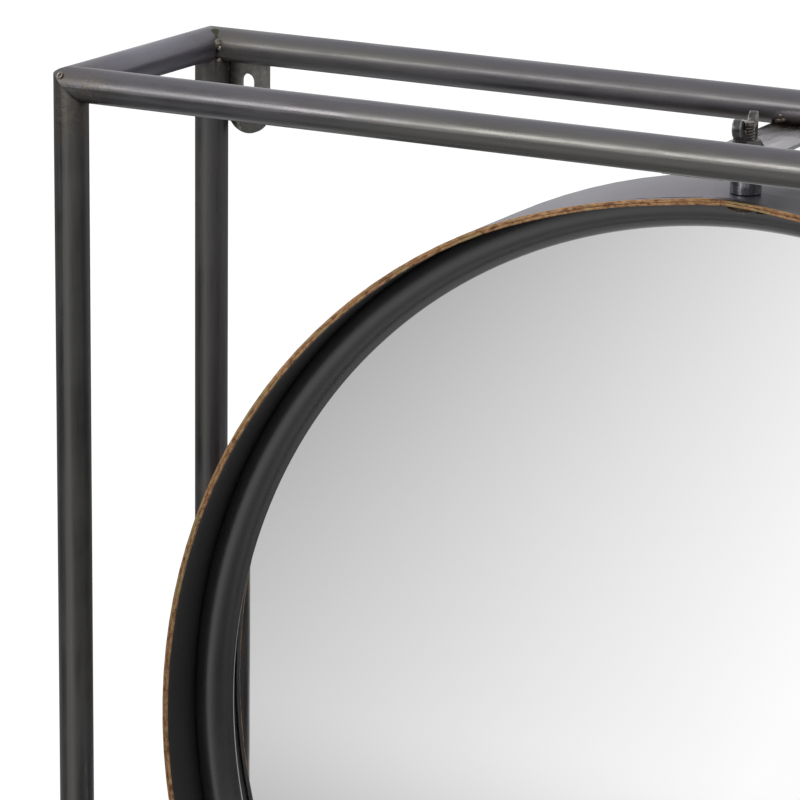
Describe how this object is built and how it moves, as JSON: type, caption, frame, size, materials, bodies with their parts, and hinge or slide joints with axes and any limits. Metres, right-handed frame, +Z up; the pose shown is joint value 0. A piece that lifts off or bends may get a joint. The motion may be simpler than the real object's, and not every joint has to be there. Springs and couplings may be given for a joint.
{
  "type": "swivelling wall mirror",
  "caption": "Round mirror in a shallow metal drum that swivels on wing-nut pivots inside an open box frame of round steel tube, hung on a wall by keyhole plates.",
  "frame": {"origin": "midway between the round holes of the two keyhole plates, on the plane of the wall", "axes": "+X along the wall to the right seen from the front, +Y into the wall, +Z up"},
  "size_m": [0.5084, 0.113, 0.5128],
  "materials": {
    "frame_steel": "raw dark steel under clear lacquer, satin",
    "drum_steel": "rolled sheet, satin grey outside and dark inside",
    "rim_brass": "rubbed copper-gold with dark mottling",
    "bezel_black": "charcoal satin",
    "mirror": "polished",
    "board": "bare fibre board",
    "plated_steel": "zinc plate, slightly dull",
    "worn_steel": "dull steel with traces of rust in the thread"
  },
  "bodies": {
    "wall_frame": {"front_top_rail": "frame_steel", "front_bottom_rail": "frame_steel", "back_top_rail": "frame_steel", "back_bottom_rail": "frame_steel", "front_left_post": "frame_steel", "front_right_post": "frame_steel", "back_left_post": "frame_steel", "back_right_post": "frame_steel", "top_left_side_rail": "frame_steel", "top_right_side_rail": "frame_steel", "bottom_left_side_rail": "frame_steel", "bottom_right_side_rail": "frame_steel", "left_hanger": "frame_steel", "right_hanger": "frame_steel", "upper_strap": "frame_steel", "lower_strap": "frame_steel"},
    "mirror_drum": {"drum_band": "drum_steel", "rim_ring": "rim_brass", "bezel_ring": "bezel_black", "mirror_glass": "mirror", "backing_board": "board", "board_tabs": "drum_steel", "tab_screws": "plated_steel", "upper_washer": "plated_steel", "lower_washer": "plated_steel", "upper_spacer": "plated_steel", "lower_spacer": "plated_steel", "upper_pivot_bolt": "worn_steel", "lower_pivot_bolt": "worn_steel"},
    "upper_nut": {"upper_wing_nut": "worn_steel"},
    "lower_nut": {"lower_wing_nut": "worn_steel"}
  },
  "joints": [
    {"name": "mirror_swivel", "type": "hinge", "parent": "wall_frame", "child": "mirror_drum", "pos_m": [0, -0.05795, -0.2239], "axis": [0, 0, 1], "continuous": true},
    {"name": "upper_nut_turn", "type": "hinge", "parent": "mirror_drum", "child": "upper_nut", "pos_m": [0, -0.05795, 0.022], "axis": [0, 0, 1], "range_deg": [0, 180]},
    {"name": "lower_nut_turn", "type": "hinge", "parent": "mirror_drum", "child": "lower_nut", "pos_m": [0, -0.05795, -0.4698], "axis": [0, 0, -1], "range_deg": [0, 180]}
  ]
}
